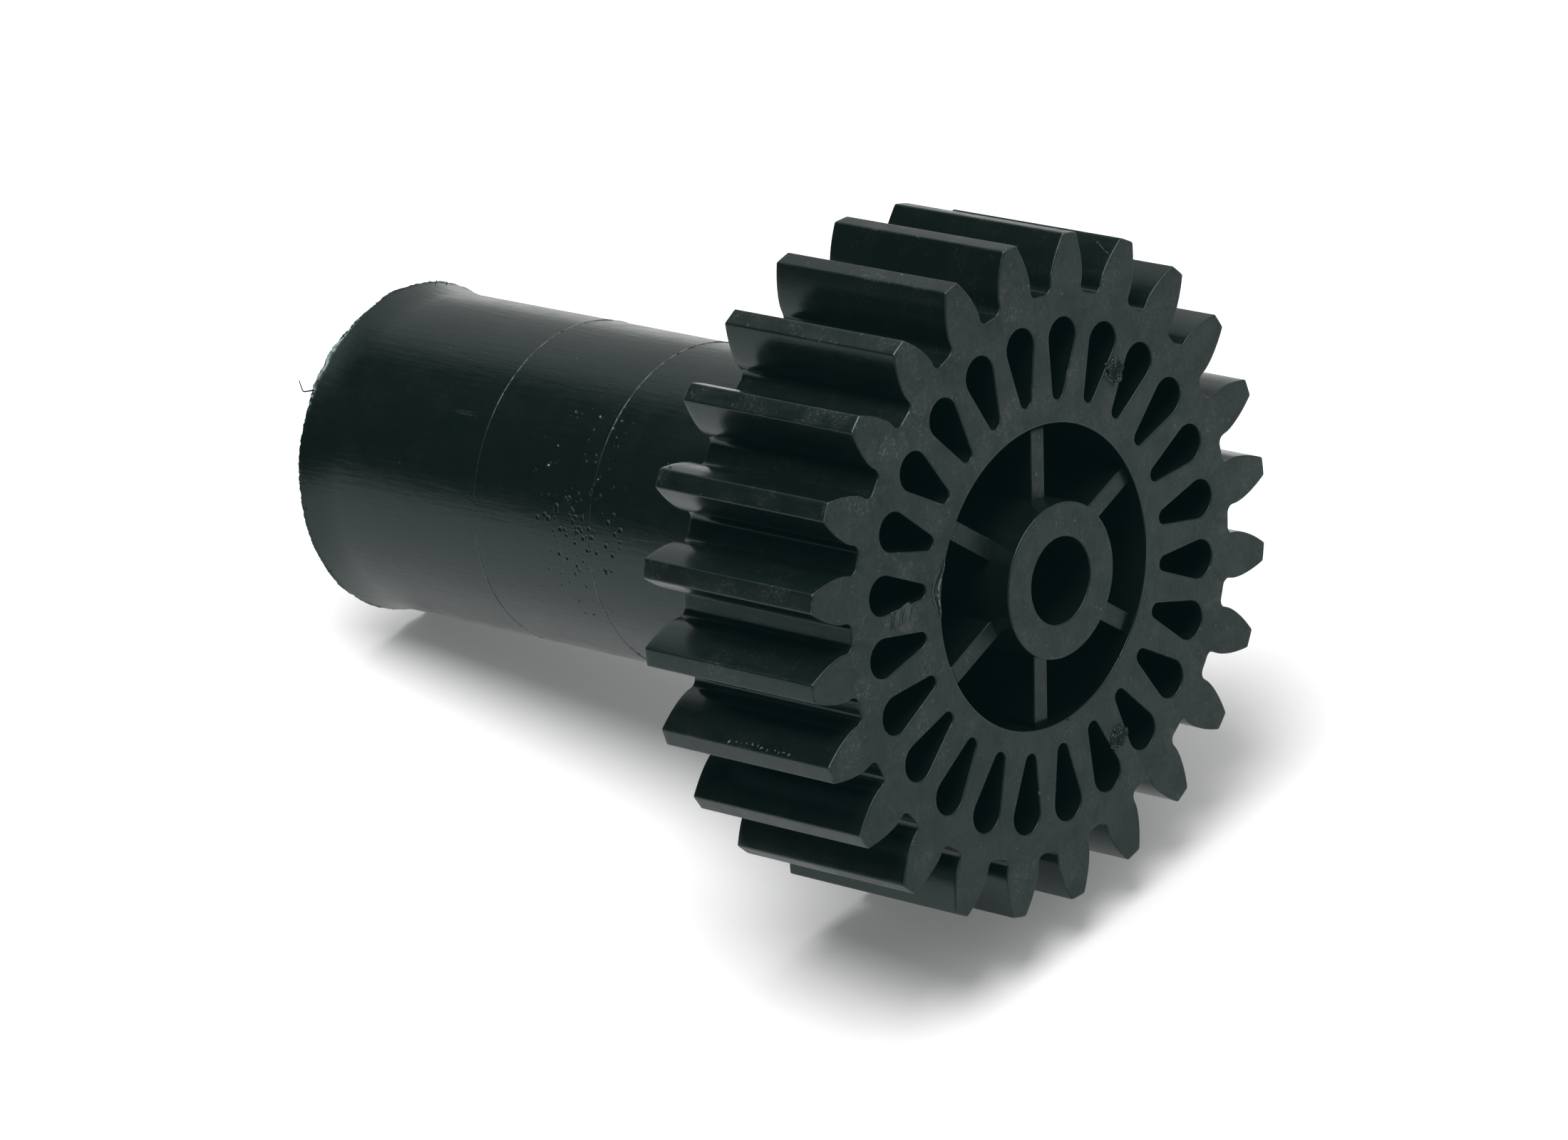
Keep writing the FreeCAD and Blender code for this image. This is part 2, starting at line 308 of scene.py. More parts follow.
def filled(outer, holes, place):
    """A flat face between an outer outline and its holes, as points and triangles."""
    loops = [outer, *holes]
    points = [Vector(point) for loop in loops for point in loop]
    starts = np.cumsum([0] + [len(loop) for loop in loops])
    faces = [list(range(start, start + len(loop))) for start, loop in zip(starts, loops)]
    spots, _, found, _, _, parents = delaunay_2d_cdt(points, [], faces, 0, 1e-6, True)
    triangles = [face for face, inside in zip(found, parents) if list(inside) == [0]]
    return [(x, place, z) for x, z in spots], triangles


def revolve(surface, profile, angles, wear_and_glint=0.0, shape=None):
    """Turns a closed profile of (radius, place) points about the axis. shape may move the points."""
    profile = np.asarray(profile, dtype=float)
    angles = np.radians(angles)
    radius = np.repeat(profile[:, :1], len(angles), axis=1)
    place = np.repeat(profile[:, 1:2], len(angles), axis=1)
    if shape:
        radius, place = shape(radius, place, np.broadcast_to(angles, radius.shape))
    rings = np.stack([radius * np.cos(angles), place, radius * np.sin(angles)], axis=-1)
    surface.loft(rings, wear_and_glint=wear_and_glint, closed=True)


def noise_round(random, angles, steps, height):
    """Smooth random heights round the axis, which meet where the circle closes."""
    knots = random.uniform(-height, height, steps)
    knots = np.append(knots, knots[0])
    return np.interp(np.mod(angles, 2 * math.pi), np.linspace(0, 2 * math.pi, steps + 1), knots)


# ---------------------------------------------------------------- materials


class Shader:
    """A material's node tree, with its Principled shader and short ways to add nodes."""

    def __init__(self, name):
        self.material = bpy.data.materials.new(name)
        self.material.use_nodes = True
        self.tree = self.material.node_tree
        self.principled = self.tree.nodes["Principled BSDF"]
        self.principled.inputs["Specular Tint"].default_value = SHEEN_TINT
        self.principled.inputs["IOR"].default_value = PLASTIC_IOR
        self.place = self.node("ShaderNodeTexCoord").outputs["Object"]

    def node(self, kind, settings=(), **inputs):
        """Adds a node with its settings, and its inputs by name. An underscore stands for a space."""
        node = self.tree.nodes.new(kind)
        for name, value in dict(settings).items():
            setattr(node, name, value)
        for name, value in inputs.items():
            self.feed(node.inputs[name.replace("_", " ")], value)
        return node

    def feed(self, socket, value):
        if isinstance(value, bpy.types.NodeSocket):
            self.tree.links.new(value, socket)
        else:
            socket.default_value = value

    def noise(self, scale, detail=3.0, roughness=0.55, vector=None):
        """Cloudy noise. scale is how many clouds lie side by side in a metre."""
        node = self.node("ShaderNodeTexNoise", Vector=vector or self.place, Scale=scale, Detail=detail)
        node.inputs["Roughness"].default_value = roughness
        return node.outputs["Fac"]

    def stretched(self, x, y, z):
        """Places scaled along each axis, which draws the noise out where the factor is small."""
        node = self.node("ShaderNodeMapping", Vector=self.place)
        node.inputs["Scale"].default_value = (x, y, z)
        return node.outputs["Vector"]

    def ramp(self, value, low, high, start=0.0, end=1.0):
        """Maps a value between two limits onto start and end, smoothly."""
        node = self.node("ShaderNodeMapRange", {"interpolation_type": "SMOOTHSTEP"}, Value=value)
        for name, number in (("From Min", low), ("From Max", high), ("To Min", start), ("To Max", end)):
            node.inputs[name].default_value = number
        return node.outputs["Result"]

    def maths(self, operation, first, second):
        node = self.node("ShaderNodeMath", {"operation": operation})
        self.feed(node.inputs[0], first)
        self.feed(node.inputs[1], second)
        return node.outputs["Value"]

    def weighted(self, first, first_share, second, second_share):
        """The sum of two values, each times its share."""
        return self.maths("ADD", self.maths("MULTIPLY", first, first_share),
                          self.maths("MULTIPLY", second, second_share))

    def mix(self, factor, first, second):
        """A colour between two: the first where the factor is 0, and the second where it is 1."""
        node = self.node("ShaderNodeMix", {"data_type": "RGBA"})
        self.feed(node.inputs["Factor"], factor)
        self.feed(node.inputs[6], first)
        self.feed(node.inputs[7], second)
        return node.outputs[2]

    def wear_and_glint(self):
        """How pale the surface is painted, for wear and for a painted glint, as its mesh says."""
        return self.node("ShaderNodeAttribute", {"attribute_name": "wear_and_glint"}).outputs["Fac"]

    def finished(self, colour, roughness, height, depth):
        """The material, with its colour, roughness and bump. depth, in millimetres, is where height is 1."""
        bump = self.node("ShaderNodeBump", Height=height, Distance=depth * MM, Strength=1.0)
        self.feed(self.principled.inputs["Base Color"], colour)
        self.feed(self.principled.inputs["Roughness"], roughness)
        self.feed(self.principled.inputs["Normal"], bump.outputs["Normal"])
        return self.material


# Tones of the plastic and what lies on it, as linear red, green, blue and alpha.
BLACK = (0.0016, 0.0042, 0.0032, 1)
CHARCOAL = (0.0034, 0.0066, 0.0054, 1)
DUST = (0.16, 0.16, 0.15, 1)
# The next tone pales the rim's front edges, partly rubbing and partly a painted glint, and colours smeared
# streaks.
RUBBED_AND_GLINT = (0.05, 0.056, 0.053, 1)
FRAYED = (0.16, 0.17, 0.16, 1)
# The next tone is a painted glint along the sleeve's seams.
GLINTING = (0.13, 0.14, 0.13, 1)
SHEEN_TINT = (0.77, 1.0, 0.99, 1)
PLASTIC_IOR = 1.53

# The shares of the slow cloudiness and of the marks along the axis in how the gloss varies.
CLOUD_SHARE, STREAK_SHARE = 0.6, 0.4
GLOSS_VARIES = 0.15


def black_plastic(name, roughness, dust, grain, rubbed_and_glint_tone=RUBBED_AND_GLINT, drawn=0.0):
    """Moulded black plastic: cloudy tone and gloss, a fine grain, dust, and edges and seams painted paler,
    partly rubbed and partly a painted glint.

    dust is its strength, grain the bump's depth in millimetres, and drawn the depth of marks along the axis.
    """
    shader = Shader(name)
    colour = shader.mix(shader.noise(160, detail=4), BLACK, CHARCOAL)

    smudges = shader.ramp(shader.noise(240, detail=6, roughness=0.7), 0.46, 0.70)
    grit = shader.ramp(shader.noise(3400, roughness=0.6), 0.50, 0.68, 0.12, 0.97)
    corner = shader.node("ShaderNodeSeparateXYZ", Vector=shader.place)
    upper_left = shader.maths("SUBTRACT", corner.outputs["Z"], corner.outputs["X"])
    gathered = shader.ramp(upper_left, -0.01, 0.040, 0.40, 1.0)
    film = shader.maths("MULTIPLY", shader.maths("MULTIPLY", smudges, grit), gathered)
    specks = shader.ramp(shader.noise(1900, detail=2), 0.69, 0.76)
    dusty = shader.maths("MULTIPLY", shader.maths("MAXIMUM", film, specks), dust)
    colour = shader.mix(dusty, colour, DUST)

    # Paler where the mesh says: rubbing with a painted glint on the rim's edges, and a painted glint on the
    # sleeve's seams.
    rubbed_and_glint = shader.maths("MULTIPLY", shader.wear_and_glint(), shader.ramp(shader.noise(1300), 0.34, 0.62))
    colour = shader.mix(rubbed_and_glint, colour, rubbed_and_glint_tone)

    streaks = shader.noise(2300, detail=4, vector=shader.stretched(1.0, 0.09, 1.0))
    cloud = shader.weighted(shader.noise(420, detail=5), CLOUD_SHARE, streaks, STREAK_SHARE)
    gloss = shader.ramp(cloud, 0.35, 0.65, roughness * (1 - GLOSS_VARIES), roughness * (1 + GLOSS_VARIES))
    fine = shader.weighted(shader.noise(900), 1.0, shader.noise(3000, detail=2), 0.4)
    height = shader.weighted(fine, grain, streaks, drawn)
    return shader.finished(colour, gloss, height, depth=1.0)


def smeared_plastic():
    """Plastic that was pressed and dragged: dull and paler, in streaks."""
    shader = Shader("smeared_plastic")
    streaks = shader.ramp(shader.noise(1500, detail=4, vector=shader.stretched(1.0, 1.0, 0.35)), 0.35, 0.65)
    colour = shader.mix(streaks, CHARCOAL, RUBBED_AND_GLINT)
    gloss = shader.ramp(streaks, 0.0, 1.0, 0.40, 0.55)
    return shader.finished(colour, gloss, shader.noise(2600), depth=0.02)


def frayed_plastic():
    """Torn plastic, paler than the skin, with dark streaks left in it."""
    shader = Shader("frayed_plastic")
    colour = shader.mix(shader.ramp(shader.noise(2400, detail=4), 0.40, 0.62), CHARCOAL, FRAYED)
    gloss = shader.ramp(shader.noise(1800, detail=2), 0.3, 0.7, 0.25, 0.5)
    return shader.finished(colour, gloss, shader.noise(5000), depth=0.03)


def torn_plastic():
    """Where a gate was broken off: black and glossy, with a rough crumbled skin."""
    shader = Shader("torn_plastic")
    colour = shader.mix(shader.ramp(shader.noise(3600), 0.60, 0.66), BLACK, FRAYED)
    gloss = shader.ramp(shader.noise(1500), 0.3, 0.7, 0.14, 0.45)
    return shader.finished(colour, gloss, shader.noise(3200, detail=4), depth=0.04)


# ---------------------------------------------------------------- the rim

# The rim's and the hub's materials, by number.
FACE, FLANK, TIP_LAND = range(3)

# Rows of points along the teeth, behind the rim's front.
TOOTH_ROWS = (0.35, 0.6, 0.95, 1.4, 2.0, 2.8, 4.0, 5.5, 7.5, 10.0, 12.5, 15.0, 17.5, 19.3, 20.3)

# Rows down a pocket: how far its wall has drawn in, and how deep the row is.
POCKET_ROWS = (0.03, 5.0), (0.06, 10.0), (0.1, POCKET_DEPTH - 0.3), (0.35, POCKET_DEPTH)

# A row of points in the bore, ahead of the sleeve's seat.
BORE_ROW = 6.0

# How pale the front edges are painted, on the tips and between them: partly rubbing, partly a painted glint.
TIP_WEAR_AND_GLINT, EDGE_WEAR_AND_GLINT = 1.0, 0.15


def toothed_rim(materials):
    """The toothed ring: rounded edges, blind pockets, a bore and the sleeve's seat."""
    surface = Surface()
    outline = gear_outline()
    rows = [*front_edge(RIM_FRONT), *[(0, RIM_FRONT + row) for row in TOOTH_ROWS], *rear_edge(RIM_REAR)]
    radius = np.hypot(*outline.T)
    on_tip = radius > TIP_RADIUS - TIP_ROUND
    land = on_tip & np.roll(on_tip, -1)
    # The rounded front edges are painted paler, most on the tip lands: rubbing and a painted glint.
    wear_and_glint = np.outer([0 < side < EDGE_ROUND for side, _ in rows], np.where(land, TIP_WEAR_AND_GLINT, EDGE_WEAR_AND_GLINT))
    rings = [across(inset(outline, side), place) for side, place in rows]
    surface.loft(rings[:CURVE_STEPS + 1], np.where(land, TIP_LAND, FACE), wear_and_glint[:CURVE_STEPS + 1])
    surface.loft(rings[CURVE_STEPS:], np.where(land, TIP_LAND, FLANK), wear_and_glint[CURVE_STEPS:])

    pockets = [pocket_outline(tooth) for tooth in range(TEETH)]
    pocket_rows = [(-side, place) for side, place in front_edge(RIM_FRONT)]
    pocket_rows += [(side, RIM_FRONT + depth) for side, depth in POCKET_ROWS]
    for pocket in pockets:
        rings = [across(inset(pocket, side), place) for side, place in pocket_rows]
        surface.loft(rings[:CURVE_STEPS + 1], FACE)
        surface.loft(rings[CURVE_STEPS:], FLANK)
        surface.cap(rings[-1], FLANK)

    bore = [(RING_BORE + side, place) for side, place in front_edge(RIM_FRONT)]
    bore += [(RING_BORE, SEAT - BORE_ROW), (RING_BORE, SEAT), (SLEEVE_RADIUS, SEAT)]
    bore += [(SLEEVE_RADIUS + side, place) for side, place in rear_edge(RIM_REAR)]
    surface.loft([across(circle(radius, BORE_STEPS), place) for radius, place in bore], FLANK)

    front_holes = [inset(pocket, -EDGE_ROUND) for pocket in pockets]
    front_holes.append(circle(RING_BORE + EDGE_ROUND, BORE_STEPS))
    surface.add(*filled(inset(outline, EDGE_ROUND), front_holes, RIM_FRONT))
    rear_hole = circle(SLEEVE_RADIUS + EDGE_ROUND, BORE_STEPS)
    surface.add(*filled(inset(outline, EDGE_ROUND), [rear_hole], RIM_REAR))
    rim = surface.piece("toothed_rim_visual", "toothed_rim", "rim_plastic", materials)
    flat_normals(rim)


# ---------------------------------------------------------------- the hub


def hub_spider(materials):
    """The hub tube and its ribs. Only the front of them is matt."""
    surface = Surface()
    rows = [*front_edge(HUB_FRONT), *rear_edge(HUB_REAR)]
    profile = [(HUB_RADIUS - side, place) for side, place in rows]
    profile += [(SHAFT_BORE + side, place) for side, place in rows[::-1]]
    revolve(surface, profile, np.linspace(0, 360, HUB_STEPS, endpoint=False))
    in_front = np.array([place < HUB_FRONT + 1.5 * EDGE_ROUND for _, place in profile])
    ring_materials = np.where(in_front & np.roll(in_front, -1), FACE, FLANK)
    surface.materials = np.repeat(ring_materials, HUB_STEPS).tolist()

    front, rear = RIM_FRONT + RIB_RECESS, SEAT
    half = RIB_THICKNESS / 2
    corners = [np.array(corner) for corner in ((half, front), (half, rear), (-half, rear), (-half, front))]
    section = []
    for index, corner in enumerate(corners):
        section += rounded_corner(corners[index - 1], corner, corners[(index + 1) % 4], EDGE_ROUND)
    section = np.array(section)
    in_front = section[:, 1] < front + EDGE_ROUND / 2
    strip_materials = np.where(in_front & np.roll(in_front, -1), FACE, FLANK)
    for rib in range(RIBS):
        angle = math.radians(PITCH + 360 / RIBS * rib)
        along = np.array([math.cos(angle), math.sin(angle)])
        aside = np.array([-math.sin(angle), math.cos(angle)])
        rings = []
        for radius in np.linspace((HUB_RADIUS + SHAFT_BORE) / 2, RING_BORE, RIB_STEPS):
            spot = along * radius + section[:, :1] * aside
            rings.append(np.stack([spot[:, 0], section[:, 1], spot[:, 1]], axis=-1))
        surface.loft(rings, strip_materials)
        surface.cap(rings[0], FLANK)
        surface.cap(rings[-1], FLANK)
    hub = surface.piece("hub_spider_visual", "hub_spider", "hub_plastic", materials)
    flat_normals(hub)


# ---------------------------------------------------------------- the sleeve

# The pits: how many, about which angle and place they gather, and the limits of each measure.
PITS = 130
PIT_ANGLE, PIT_ANGLE_SPREAD, PIT_ANGLE_LIMITS = 162.0, 20.0, (122, 196)
PIT_PLACE, PIT_PLACE_SPREAD, PIT_PLACE_LIMITS = 35.0, 3.0, (29.0, 41.0)
PIT_SIZES, PIT_DEPTH_SHARES = (0.14, 0.30), (0.16, 0.38)

# A pit's raised lip: its height as a share of the depth, and where it lies and how wide it is, in pit radii.
LIP_HEIGHT, LIP_PLACE, LIP_WIDTH = 0.22, 1.15, 0.2

# The tube's unevenness: each wave's height, how often it goes round, and its turn in radians per millimetre.
WAVES = (0.010, 3, 0.11), (0.007, 7, -0.23)

# Where the rows and columns of points lie close together, round the pits, and their spacings.
FINE_ANGLES, FINE_TURN, COARSE_TURN = (121, 197), 0.3, 0.9
FINE_START, FINE_END, FINE_ROW = 28.6, 41.4, 0.08
ROW_GAP = 0.1

# Rows beside a seam, by their distance from it, and how many rows the inside has.
SEAM_ROWS = (0, 0.04, 0.08, 0.12, 0.16, 0.22, 0.3)
INSIDE_ROWS = 16

# How marked the seams are, by the angle round the sleeve, in their burrs and in the glint painted on them:
# most at the top, and almost lost on the left.
SEAM_ANGLES = (0, 70, 118, 134, 168, 186, 240, 360)
SEAM_MARKED = (0.6, 1.0, 0.9, 0.10, 0.08, 0.60, 0.7, 0.6)

# A burr's reach along the axis, and its height at a section's rear seam and at its front seam.
BURR_WIDTH = 0.07
LOW_BURR, HIGH_BURR = 0.03, 0.09

# The ragged lip at the far end: its length, and the share of it that is chipped.
LIP_LENGTH, CHIPPED = 0.6, 0.045


def fine_angles(low, high, fine, coarse):
    """Angles round the axis that lie closer together between two of them."""
    rest = 360 - high + low
    wide = np.linspace(high, high + rest, int(rest / coarse), endpoint=False)
    return np.concatenate([np.arange(low, high, fine), wide])


def pits():
    """Where the small bubbles in the sleeve's skin are: angle, place, radius and depth of each."""
    random = np.random.default_rng(7)
    angles = random.normal(PIT_ANGLE, PIT_ANGLE_SPREAD, PITS).clip(*PIT_ANGLE_LIMITS)
    places = random.normal(PIT_PLACE, PIT_PLACE_SPREAD, PITS).clip(*PIT_PLACE_LIMITS)
    sizes = random.uniform(*PIT_SIZES, PITS)
    return [(math.radians(angle), place, size, size * random.uniform(*PIT_DEPTH_SHARES))
            for angle, place, size in zip(angles, places, sizes)]


def on_outside(radius):
    """Which points of the sleeve's profile are on its outside."""
    return radius > SLEEVE_RADIUS - SLEEVE_WALL / 4


def pitted(radius, place, angles):
    """Sinks the pits into the sleeve's outside, each with a faint raised lip."""
    outside = on_outside(radius)
    for angle, spot, size, depth in pits():
        away = np.hypot((angles - angle) * SLEEVE_RADIUS, place - spot) / size
        hollow = -depth * (1 - np.minimum(away, 1) ** 2) ** 1.5
        lip = LIP_HEIGHT * depth * np.exp(-(((away - LIP_PLACE) / LIP_WIDTH) ** 2))
        radius = radius + np.where(outside, hollow + lip, 0)
    return radius, place


def waved(radius, place, angles):
    """The slight unevenness of a moulded tube."""
    wave = sum(height * np.sin(times * angles + place * turn) for height, times, turn in WAVES)
    return radius + np.where(on_outside(radius), wave, 0), place


def seam_strength(angles):
    """How marked the seams are at angles round the sleeve, in their burrs and in their painted glint."""
    return np.interp(np.mod(np.degrees(angles), 360), SEAM_ANGLES, SEAM_MARKED)


def burred(seed, seam, height):
    """A thin burr along a seam, which comes and goes round the sleeve."""

    def burr(radius, place, angles):
        random = np.random.default_rng(seed)
        fine = noise_round(random, angles[0], steps=420, height=0.35)
        slow = noise_round(random, angles[0], steps=23, height=0.35)
        bead = height * seam_strength(angles[0]) * np.clip(0.65 + fine + slow, 0.1, 1.4)
        near = np.exp(-(((place - seam) / BURR_WIDTH) ** 2))
        return radius + np.where(on_outside(radius), near * bead, 0), place

    return burr


def belled(radius, place, angles):
    """The far end spreads a little, and its lip is ragged."""
    random = np.random.default_rng(11)
    around_axis = angles[0]
    rise = np.clip((place - SLEEVE_END + FLARE_LENGTH) / FLARE_LENGTH, 0, 1) ** 1.8 * FLARE_RISE
    outside = on_outside(radius)
    lip = np.clip((place - SLEEVE_END + LIP_LENGTH) / LIP_LENGTH, 0, 1) ** 1.5
    torn = noise_round(random, around_axis, steps=330, height=0.04)
    torn += noise_round(random, around_axis, steps=41, height=0.07)
    chips = np.where(random.uniform(size=len(around_axis)) > 1 - CHIPPED, random.uniform(0.03, 0.09), 0.0)
    back = np.abs(noise_round(random, around_axis, steps=240, height=0.16))
    back += np.abs(noise_round(random, around_axis, steps=23, height=0.42))
    radius = radius + np.where(outside, rise + lip * (torn + chips), 0)
    return radius, place - lip * back


def sleeve_section(name, start, end, places, angles, shapes, plastic, socket=True, spigot=True):
    """One length of the sleeve. places are the rows of points along its outside, front to rear."""
    surface = Surface()
    inside = SLEEVE_RADIUS - SLEEVE_WALL
    joint = SLEEVE_RADIUS - SLEEVE_WALL / 2
    first = start + SPIGOT_LENGTH if socket else start
    last = end + SPIGOT_LENGTH if spigot else end
    profile = [(SLEEVE_RADIUS, place) for place in places]
    profile += [(joint, end)]
    if spigot:
        profile += [(joint, last)]
    profile += [(inside, place) for place in np.linspace(last, first, INSIDE_ROWS)]
    if socket:
        profile += [(joint, first), (joint, start)]

    def shape(radius, place, angles):
        for change in shapes:
            radius, place = change(radius, place, angles)
        return radius, place

    seams = [seam for seam in (FIRST_SEAM, SECOND_SEAM) if start <= seam <= end]
    # Rows at a seam are painted paler, a painted glint as strong as the seam is marked.
    at_seam = [any(abs(place - seam) < BURR_WIDTH for seam in seams) and on_outside(radius)
               for radius, place in profile]
    wear_and_glint = np.outer(at_seam, seam_strength(np.radians(angles)))
    revolve(surface, profile, angles, wear_and_glint=wear_and_glint, shape=shape)
    piece = surface.piece(f"{name}_visual", name, "sleeve_plastic", [plastic])
    flat_normals(piece)


def seam_rows(seam, side):
    """Rows close together beside a seam, on its front side (-1) or its rear side (1)."""
    return np.sort(seam + side * np.array(SEAM_ROWS))


def sleeve(plastic):
    """The sleeve's three lengths, with burrs along the seams, pits and a rough belled end."""
    pit_angles = fine_angles(*FINE_ANGLES, FINE_TURN, COARSE_TURN)
    even_angles = np.linspace(0, 360, SLEEVE_STEPS, endpoint=False)
    flare = SLEEVE_END - FLARE_LENGTH
    front_places = np.concatenate([
        np.linspace(SEAT, FINE_START - ROW_GAP, 28),
        np.arange(FINE_START, FIRST_SEAM - 0.31, FINE_ROW),
        seam_rows(FIRST_SEAM, -1),
    ])
    middle_places = np.concatenate([
        seam_rows(FIRST_SEAM, 1),
        np.arange(FIRST_SEAM + 0.36, FINE_END, FINE_ROW),
        np.linspace(FINE_END + ROW_GAP, SECOND_SEAM - 0.4, 16),
        seam_rows(SECOND_SEAM, -1),
    ])
    rear_places = np.concatenate([
        seam_rows(SECOND_SEAM, 1),
        np.linspace(SECOND_SEAM + 0.5, flare, 34),
        np.linspace(flare + 0.3, SLEEVE_END - LIP_LENGTH - ROW_GAP, 14),
        np.linspace(SLEEVE_END - LIP_LENGTH, SLEEVE_END, 9),
    ])
    sleeve_section(
        "sleeve_front_section", SEAT, FIRST_SEAM, front_places, pit_angles,
        [waved, pitted, burred(3, FIRST_SEAM, LOW_BURR)], plastic, socket=False,
    )
    sleeve_section(
        "sleeve_middle_section", FIRST_SEAM, SECOND_SEAM, middle_places, pit_angles,
        [waved, pitted, burred(5, FIRST_SEAM, HIGH_BURR), burred(6, SECOND_SEAM, LOW_BURR)], plastic,
    )
    sleeve_section(
        "sleeve_rear_section", SECOND_SEAM, SLEEVE_END, rear_places, even_angles,
        [waved, belled, burred(9, SECOND_SEAM, HIGH_BURR)], plastic, spigot=False,
    )


# ---------------------------------------------------------------- marks of moulding and use

STRAND_SIDES = 8
STUB_POINTS, STUB_RINGS = 64, 12

# The gates, two torn and one pressed flat: name, distance to the axis, angle, half the length and half the
# width, height, and seed.
TORN_GATES = (
    ("gate_mark_1", 20.6, 45, (1.2, 1.35), 0.18, 21),
    ("gate_mark_3", 20.6, 285, (1.2, 1.35), 0.18, 23),
)
PRESSED_GATE = ("gate_mark_2", 19.6, 164, (2.0, 1.25), 0.02, 22)

# The scores across the pressed gate: where each starts and its width, the turns of its points, and its taper.
SCORED_ANGLE = 165
SCORES = (18.6, 0.12), (19.6, 0.22), (20.0, 0.12), (20.8, 0.20), (21.1, 0.16)
SCORE_TURNS = (-3.6, -2.5, -1.2, 0.1, 1.2)
SCORE_TAPER = np.array([0.3, 0.8, 1.0, 0.7, 1.0, 0.9, 0.6, 0.5, 0.2])
SCORE_DRIFT, SCORE_PROUD = 0.12, 0.035
LINE_THICKNESS = 0.03

# The flash, and the dark strip under it (its groove, and painted shade): angles and thickness of each. Both
# swell in the middle.
FLASH_ANGLES, FLASH_STEPS = (147, 168), 22
FLASH_THICKNESS, GROOVE_AND_SHADE_THICKNESS = 0.07, 0.05

# How the width runs along a burr and along a scratch.
BURR_TAPER = np.array([1.0, 0.9, 0.75, 0.55, 0.3, 0.1])
SCRATCH_TAPER = np.array([0.2, 0.7, 1.0, 0.8, 1.0, 0.9, 0.6, 0.2])

# Angles of the burrs on the far end's lip, and of the nicks on the bore's edge.
END_BURR_ANGLES = (58, 64, 71, 93, 98, 104, 112, 131, 166, 171, 176, 203, 208, 214)
BORE_NICK_ANGLES = (55, 56.5, 302, 266, 267.5, 190, 192)

# Scratches on the sleeve: the first one's ends and its angle, and each one's shift along the axis and turn.
SLEEVE_SCRATCH, SCRATCH_ANGLE = (50.6, 53.6), 130
SLEEVE_SCRATCHES = (0, 0), (0.5, 0.7), (-0.4, 1.1)

# Scratches on a flank: the first one's ends (distance to the axis, place, angle), and each one's step down,
# shift along the axis and width.
FLANK_SCRATCH = (32.0, -7.4, 54.7), (30.7, -10.2, 55.7)
FLANK_SCRATCHES = (0, 0, 0.10), (0.25, -0.5, 0.06), (0.1, 0.6, 0.05)

# The whisker's root, bend and end: distance to the axis, and angle about it.
WHISKER = (16.3, 133.6), (17.9, 136.2), (19.0, 133.5)


def at(radius, place, degrees):
    """A point from its distance to the axis, place along it and angle about it."""
    angle = math.radians(degrees)
    return np.array([radius * math.cos(angle), place, radius * math.sin(angle)])


def strand(surface, path, widths, thickness, outward):
    """A thin solid strip along a path, lying flat against the direction given."""
    path = np.asarray(path, dtype=float)
    runs = np.gradient(path, axis=0)
    runs /= np.linalg.norm(runs, axis=1, keepdims=True)
    sides = np.cross(runs, outward)
    sides /= np.linalg.norm(sides, axis=1, keepdims=True)
    ups = np.cross(sides, runs)
    rings = []
    for point, side, up, width in zip(path, sides, ups, widths):
        angles = np.linspace(0, 2 * math.pi, STRAND_SIDES, endpoint=False)
        rings.append([point + side * width / 2 * math.cos(angle) + up * thickness / 2 * math.sin(angle)
                      for angle in angles])
    surface.loft(rings)
    surface.cap(rings[0])
    surface.cap(rings[-1])


def curved(points, count):
    """A smooth path through a few points."""
    points = np.asarray(points, dtype=float)
    steps = np.linspace(0, len(points) - 1, count)
    knots = np.arange(len(points))
    rough = np.stack([np.interp(steps, knots, points[:, axis]) for axis in range(3)], axis=-1)
    padded = np.concatenate([rough[:1], rough, rough[-1:]])
    return (padded[:-2] + 2 * rough + padded[2:]) / 4


def stub(name, radius, degrees, size, height, seed, material):
    """A low rough patch on the web between two pockets. size is half its length and half its width.

    Its first ring lies below the face, so that no gap shows under its edge. The others rise to a rough top.
    """
    random = np.random.default_rng(seed)
    surface = Surface()
    angles = np.linspace(0, 2 * math.pi, STUB_POINTS, endpoint=False)
    edge = 1 + noise_round(random, angles, steps=21, height=0.22)
    rings = []
    for share in (0.9, *np.linspace(1.0, 0.08, STUB_RINGS)):
        level = min((1 - share) * 6, 1) if rings else -0.5
        rough = random.uniform(-0.9, 0.7, STUB_POINTS) * max(level, 0)
        outline = around(1, angles) * size * (share * edge)[:, None]
        spot = turned(outline + (radius, 0), degrees)
        rings.append(np.stack([spot[:, 0], RIM_FRONT - height * (level + rough), spot[:, 1]], axis=-1))
    surface.loft(rings)
    surface.cap(rings[0])
    surface.cap(rings[-1])
    surface.piece(name, None, "rim_plastic", [material])


def gate_marks(torn, smeared, black):
    """The broken gates: two torn stubs, and one that was pressed flat and scored across."""
    for gate in TORN_GATES:
        stub(*gate, torn)
    stub(*PRESSED_GATE, smeared)
    surface = Surface()
    for radius, width in SCORES:
        path = [at(radius + SCORE_DRIFT * step, RIM_FRONT - SCORE_PROUD, SCORED_ANGLE + turn)
                for step, turn in enumerate(SCORE_TURNS)]
        strand(surface, curved(path, len(SCORE_TAPER)), width * SCORE_TAPER, LINE_THICKNESS, (0, -1, 0))
    surface.piece("gate_scores", None, "rim_plastic", [black])


